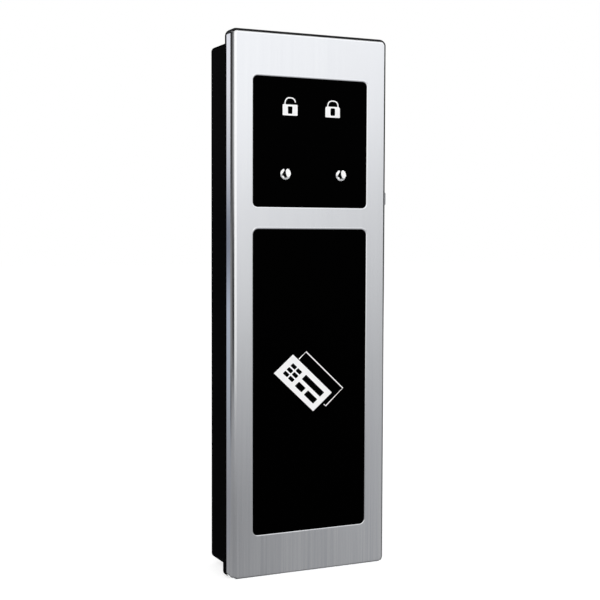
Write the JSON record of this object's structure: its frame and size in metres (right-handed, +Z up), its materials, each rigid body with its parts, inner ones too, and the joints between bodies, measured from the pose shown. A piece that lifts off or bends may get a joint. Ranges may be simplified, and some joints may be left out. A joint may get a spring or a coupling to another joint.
{
  "type": "electronic cabinet lock",
  "caption": "Slim card lock for a cabinet door: brushed frame with black panels over a black housing, with a motor-driven bolt that slides out of its right side.",
  "frame": {"origin": "middle of the housing's flat back, which sits on the door", "axes": "+Z up along the lock, -Y the front that the user faces, +X right, the way the bolt leaves; +Y into the door"},
  "size_m": [0.0683, 0.0294, 0.19],
  "materials": {
    "front_frame": "satin, brushed lengthways",
    "black_panel": "gloss black acrylic with white print",
    "clear_lens": "clear, polished",
    "housing": "moulded black, fine grain",
    "circuit_board": "green solder mask",
    "lamp_resin": "milky resin",
    "chip_black": "matt black",
    "white_nylon": "natural nylon",
    "copper": "enamelled copper wire",
    "cell_sleeve": "printed sleeve",
    "brass": "turned brass",
    "plain_steel": "plated steel",
    "red_lead": "red insulation",
    "grey_lead": "grey insulation"
  },
  "bodies": {
    "lock_case": {"housing": "housing", "front_frame": "front_frame", "upper_panel": "black_panel", "lower_panel": "black_panel", "indicator_lens_left": "clear_lens", "indicator_lens_right": "clear_lens", "main_board": "circuit_board", "indicator_lamp_left": "lamp_resin", "indicator_lamp_right": "lamp_resin", "controller_chip": "chip_black", "reader_chip": "chip_black", "buzzer": "chip_black", "learn_switch": "plain_steel", "battery_connector": "white_nylon", "motor_connector": "white_nylon", "antenna_connector": "white_nylon", "antenna_coil": "copper", "battery_holder": "housing", "cell_1": "cell_sleeve", "cell_2": "cell_sleeve", "cell_3": "cell_sleeve", "contact_spring_1": "plain_steel", "contact_spring_2": "plain_steel", "contact_spring_3": "plain_steel", "positive_terminal": "plain_steel", "upper_link": "plain_steel", "lower_link": "plain_steel", "negative_terminal": "plain_steel", "mechanism_plate": "plain_steel", "motor": "plain_steel", "intermediate_axle": "plain_steel", "bolt_switch": "chip_black", "board_screw_1": "plain_steel", "board_screw_2": "plain_steel", "board_screw_3": "plain_steel", "board_screw_4": "plain_steel", "plate_screw_1": "plain_steel", "plate_screw_2": "plain_steel", "plate_screw_3": "plain_steel", "plate_screw_4": "plain_steel", "motor_screw_1": "plain_steel", "motor_screw_2": "plain_steel", "frame_screw_1": "plain_steel", "frame_screw_2": "plain_steel", "battery_lead_positive": "red_lead", "battery_lead_negative": "grey_lead", "motor_lead_one": "red_lead", "motor_lead_two": "grey_lead", "antenna_lead_one": "red_lead", "antenna_lead_two": "grey_lead"},
    "bolt": {"bolt": "plain_steel"},
    "output_gear": {"output_gear": "white_nylon"},
    "intermediate_gear": {"intermediate_gear": "white_nylon"},
    "motor_rotor": {"motor_shaft": "plain_steel", "motor_pinion": "brass"},
    "switch_lever": {"switch_lever": "plain_steel"},
    "learn_button": {"learn_button": "chip_black"}
  },
  "joints": [
    {"name": "bolt_slide", "type": "slide", "parent": "lock_case", "child": "bolt", "axis": [1, 0, 0], "range_m": [-0.0114, 0]},
    {"name": "output_gear_spin", "type": "hinge", "parent": "lock_case", "child": "output_gear", "pos_m": [0, -0.0168, 0.02974], "axis": [0, -1, 0], "range_deg": [0, 136.2]},
    {"name": "intermediate_gear_spin", "type": "hinge", "parent": "lock_case", "child": "intermediate_gear", "pos_m": [-0.0065, -0.0168, 0.01848], "axis": [0, -1, 0], "range_deg": [-453.8, 0]},
    {"name": "motor_spin", "type": "hinge", "parent": "lock_case", "child": "motor_rotor", "pos_m": [0, -0.0168, 0.01023], "axis": [0, -1, 0], "range_deg": [0, 1134.4]},
    {"name": "switch_lever_lift", "type": "hinge", "parent": "lock_case", "child": "switch_lever", "pos_m": [-0.0164, -0.0103, 0.0454], "axis": [0, -1, 0], "range_deg": [0, 3.45]},
    {"name": "learn_button_press", "type": "slide", "parent": "lock_case", "child": "learn_button", "axis": [0, 1, 0], "range_m": [0, 0.00025], "stiffness_N_per_m": 200, "springref_m": -0.0002}
  ],
  "couplings": [
    {"joint": "output_gear_spin", "follows": "bolt_slide", "rad_per_m": -208.33},
    {"joint": "intermediate_gear_spin", "follows": "bolt_slide", "rad_per_m": 694.44},
    {"joint": "motor_spin", "follows": "bolt_slide", "rad_per_m": -1736.1},
    {"joint": "switch_lever_lift", "follows": "bolt_slide", "rad_per_m": -5.2083}
  ]
}
